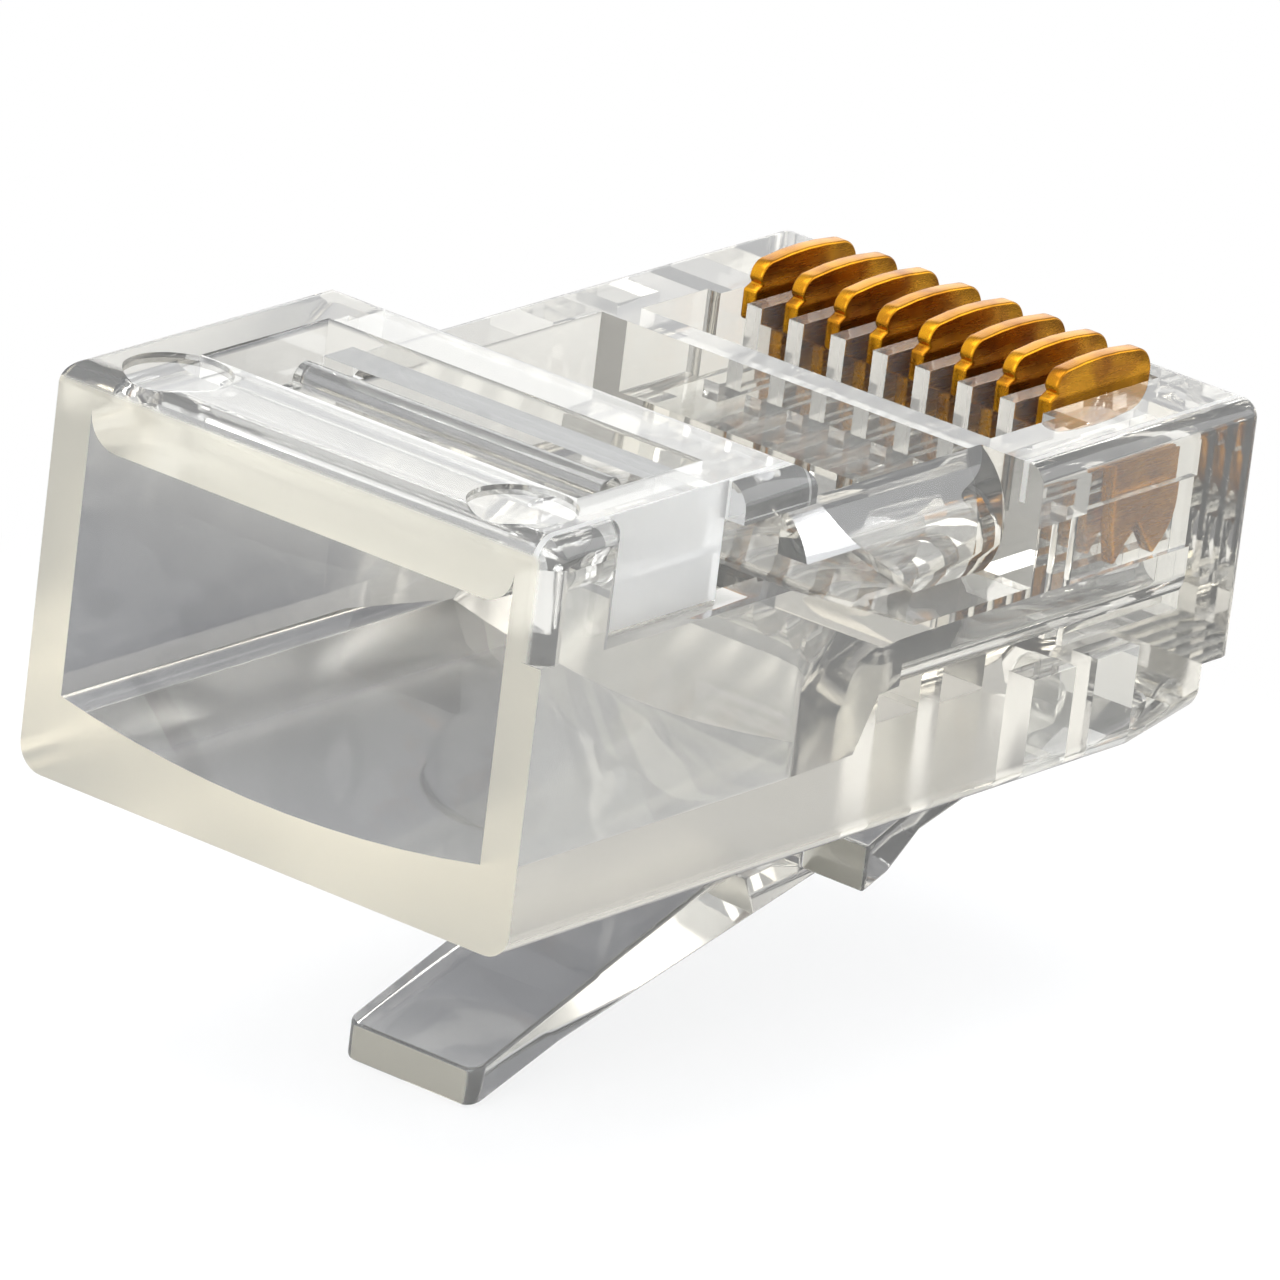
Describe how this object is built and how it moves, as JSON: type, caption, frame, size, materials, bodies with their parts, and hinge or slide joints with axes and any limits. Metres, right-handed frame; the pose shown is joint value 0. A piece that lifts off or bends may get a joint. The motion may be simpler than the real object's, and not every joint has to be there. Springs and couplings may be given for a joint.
{
  "type": "modular plug",
  "caption": "Clear polycarbonate modular cable plug for round network cable, uncrimped, with gold-plated blades, a hinged locking lever and an open cable cavity.",
  "frame": {"origin": "middle of the cable entry face's lower edge, at the rear of the housing", "axes": "+X from the cable entry to the nose, the direction of insertion; +Z to the contact side, away from the latch; +Y across the width"},
  "size_m": [0.0215, 0.0116, 0.0135],
  "materials": {
    "clear_polycarbonate": "clear injection-moulded polycarbonate, polished",
    "gold_plating": "gold flash over stamped phosphor bronze"
  },
  "bodies": {
    "body": {"housing": "clear_polycarbonate"},
    "lever": {"latch": "clear_polycarbonate"},
    "clamp": {"jacket_clamp": "clear_polycarbonate"},
    "blade_1": {"contact_1": "gold_plating"},
    "blade_2": {"contact_2": "gold_plating"},
    "blade_3": {"contact_3": "gold_plating"},
    "blade_4": {"contact_4": "gold_plating"},
    "blade_5": {"contact_5": "gold_plating"},
    "blade_6": {"contact_6": "gold_plating"},
    "blade_7": {"contact_7": "gold_plating"},
    "blade_8": {"contact_8": "gold_plating"}
  },
  "joints": [
    {"name": "latch_flex", "type": "hinge", "parent": "body", "child": "lever", "pos_m": [0.0199, 0, 0.0001], "axis": [0, 1, 0], "range_deg": [0, 14], "stiffness_Nm_per_rad": 0.06},
    {"name": "clamp_flex", "type": "hinge", "parent": "body", "child": "clamp", "pos_m": [0.0023, 0, 0.00708], "axis": [0, 1, 0], "range_deg": [0, 40]},
    {"name": "crimp_1", "type": "slide", "parent": "body", "child": "blade_1", "axis": [0, 0, -1], "range_m": [0, 0.0011]},
    {"name": "crimp_2", "type": "slide", "parent": "body", "child": "blade_2", "axis": [0, 0, -1], "range_m": [0, 0.0011]},
    {"name": "crimp_3", "type": "slide", "parent": "body", "child": "blade_3", "axis": [0, 0, -1], "range_m": [0, 0.0011]},
    {"name": "crimp_4", "type": "slide", "parent": "body", "child": "blade_4", "axis": [0, 0, -1], "range_m": [0, 0.0011]},
    {"name": "crimp_5", "type": "slide", "parent": "body", "child": "blade_5", "axis": [0, 0, -1], "range_m": [0, 0.0011]},
    {"name": "crimp_6", "type": "slide", "parent": "body", "child": "blade_6", "axis": [0, 0, -1], "range_m": [0, 0.0011]},
    {"name": "crimp_7", "type": "slide", "parent": "body", "child": "blade_7", "axis": [0, 0, -1], "range_m": [0, 0.0011]},
    {"name": "crimp_8", "type": "slide", "parent": "body", "child": "blade_8", "axis": [0, 0, -1], "range_m": [0, 0.0011]}
  ]
}
